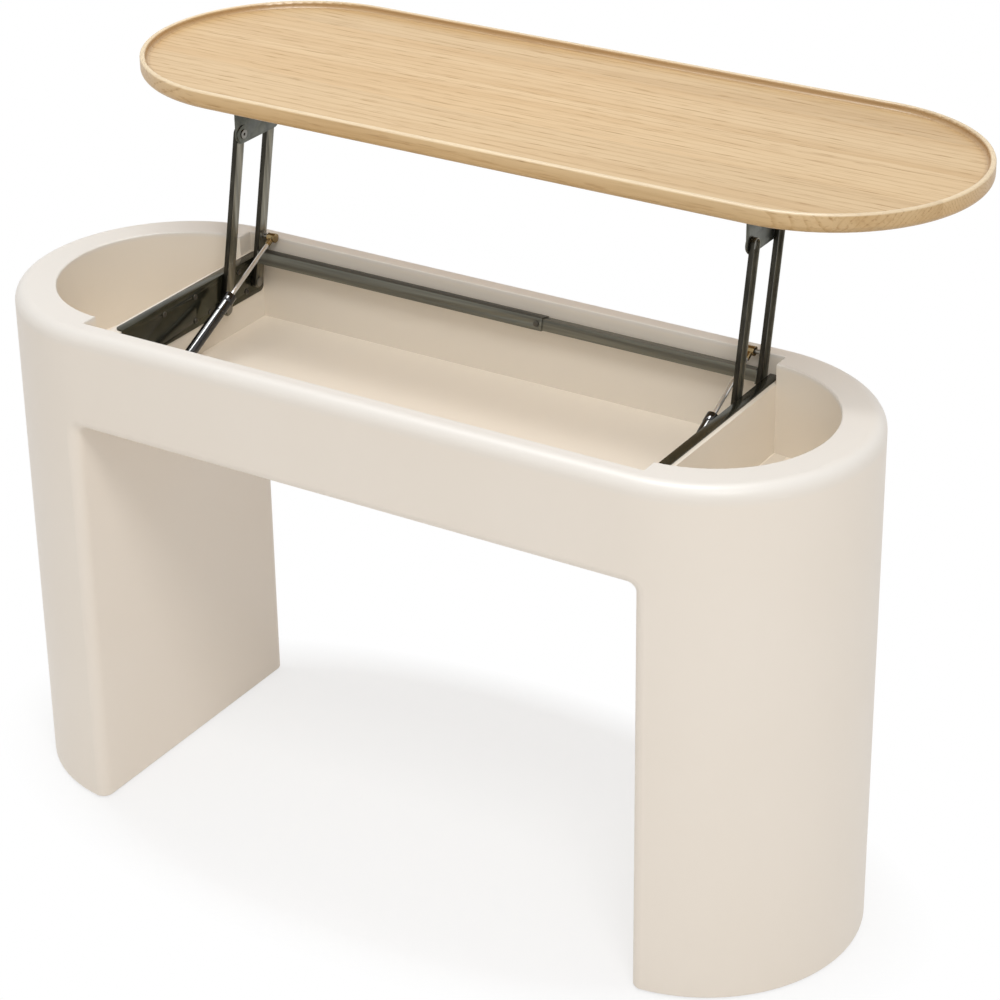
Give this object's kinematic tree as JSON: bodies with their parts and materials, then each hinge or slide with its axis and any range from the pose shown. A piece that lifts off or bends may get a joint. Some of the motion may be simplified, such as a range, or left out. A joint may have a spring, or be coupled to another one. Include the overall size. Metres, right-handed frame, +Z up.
{
  "type": "lift-top console table",
  "caption": "Stadium-shaped console table on D-shaped legs, with an oak tray top that swings up and back on gas-sprung parallel arms over a storage compartment and end pockets.",
  "frame": {"origin": "centre of the carcass's footprint on the floor", "axes": "+X along the table's length to its right, +Y to its rear, +Z up; the tray stands raised"},
  "size_m": [1.25, 0.7255, 0.9619],
  "materials": {
    "cream_lacquer": "satin lacquer",
    "base_board": "raw board",
    "oak": "matt lacquered oak",
    "glide_plastic": "matt",
    "rail_steel": "dark bronze coating",
    "arm_steel": "dark bronze coating",
    "tube_steel": "dark coating",
    "pin_steel": "satin",
    "screw_steel": "satin",
    "brass": "satin",
    "chrome": "polished",
    "strut_black": "gloss black"
  },
  "bodies": {
    "base": {"left_end_shell": "cream_lacquer", "right_end_shell": "cream_lacquer", "left_pocket_floor": "cream_lacquer", "right_pocket_floor": "cream_lacquer", "left_leg_base": "base_board", "right_leg_base": "base_board", "left_divider": "cream_lacquer", "right_divider": "cream_lacquer", "left_base_rail": "rail_steel", "right_base_rail": "rail_steel", "left_rail_screws": "screw_steel", "right_rail_screws": "screw_steel", "left_base_pins": "pin_steel", "right_base_pins": "pin_steel", "left_anchor_plate": "rail_steel", "right_anchor_plate": "rail_steel", "front_apron": "cream_lacquer", "rear_apron": "cream_lacquer", "storage_floor": "cream_lacquer", "glides": "glide_plastic"},
    "rear_arms": {"left_rear_arm": "arm_steel", "right_rear_arm": "arm_steel", "left_ball_stud": "pin_steel", "right_ball_stud": "pin_steel", "cross_tube_outer": "tube_steel", "cross_tube_inner": "tube_steel", "set_screw": "screw_steel"},
    "left_front_link": {"left_front_arm": "arm_steel"},
    "right_front_link": {"right_front_arm": "arm_steel"},
    "top": {"tray_top": "oak", "bracket_screws": "screw_steel", "left_top_bracket": "arm_steel", "right_top_bracket": "arm_steel", "left_top_pins": "pin_steel", "right_top_pins": "pin_steel"},
    "left_strut_piston": {"left_strut_socket": "brass", "left_strut_rod": "chrome"},
    "left_strut_barrel": {"left_strut_collar": "strut_black", "left_strut_cylinder": "strut_black", "left_strut_eye": "strut_black"},
    "right_strut_piston": {"right_strut_socket": "brass", "right_strut_rod": "chrome"},
    "right_strut_barrel": {"right_strut_collar": "strut_black", "right_strut_cylinder": "strut_black", "right_strut_eye": "strut_black"}
  },
  "joints": [
    {"name": "lift", "type": "hinge", "parent": "base", "child": "rear_arms", "pos_m": [0, 0.1615, 0.661], "axis": [1, 0, 0], "range_deg": [0, 94.3]},
    {"name": "left_front_arm_swing", "type": "hinge", "parent": "base", "child": "left_front_link", "pos_m": [0, 0.089, 0.645], "axis": [1, 0, 0], "range_deg": [0, 94.3]},
    {"name": "right_front_arm_swing", "type": "hinge", "parent": "base", "child": "right_front_link", "pos_m": [0, 0.089, 0.645], "axis": [1, 0, 0], "range_deg": [0, 94.3]},
    {"name": "top_level", "type": "hinge", "parent": "rear_arms", "child": "top", "pos_m": [0, 0.21094, 0.90402], "axis": [1, 0, 0], "range_deg": [-94.3, 0]},
    {"name": "left_strut_swivel", "type": "hinge", "parent": "rear_arms", "child": "left_strut_piston", "pos_m": [0, 0.17515, 0.72557], "axis": [1, 0, 0], "range_deg": [-99.53, 0]},
    {"name": "left_strut_stroke", "type": "slide", "parent": "left_strut_piston", "child": "left_strut_barrel", "axis": [0, 0.8936, 0.4488], "range_m": [0, 0.0951]},
    {"name": "right_strut_swivel", "type": "hinge", "parent": "rear_arms", "child": "right_strut_piston", "pos_m": [0, 0.17515, 0.72557], "axis": [1, 0, 0], "range_deg": [-99.53, 0]},
    {"name": "right_strut_stroke", "type": "slide", "parent": "right_strut_piston", "child": "right_strut_barrel", "axis": [0, 0.8936, 0.4488], "range_m": [0, 0.0951]}
  ],
  "couplings": [
    {"joint": "left_front_arm_swing", "follows": "lift", "ratio": 1},
    {"joint": "right_front_arm_swing", "follows": "lift", "ratio": 1},
    {"joint": "top_level", "follows": "lift", "ratio": -1},
    {"joint": "left_strut_swivel", "follows": "lift", "ratio": -1.0554},
    {"joint": "left_strut_stroke", "follows": "lift", "m_per_rad": 0.057749},
    {"joint": "right_strut_swivel", "follows": "lift", "ratio": -1.0554},
    {"joint": "right_strut_stroke", "follows": "lift", "m_per_rad": 0.057749}
  ]
}
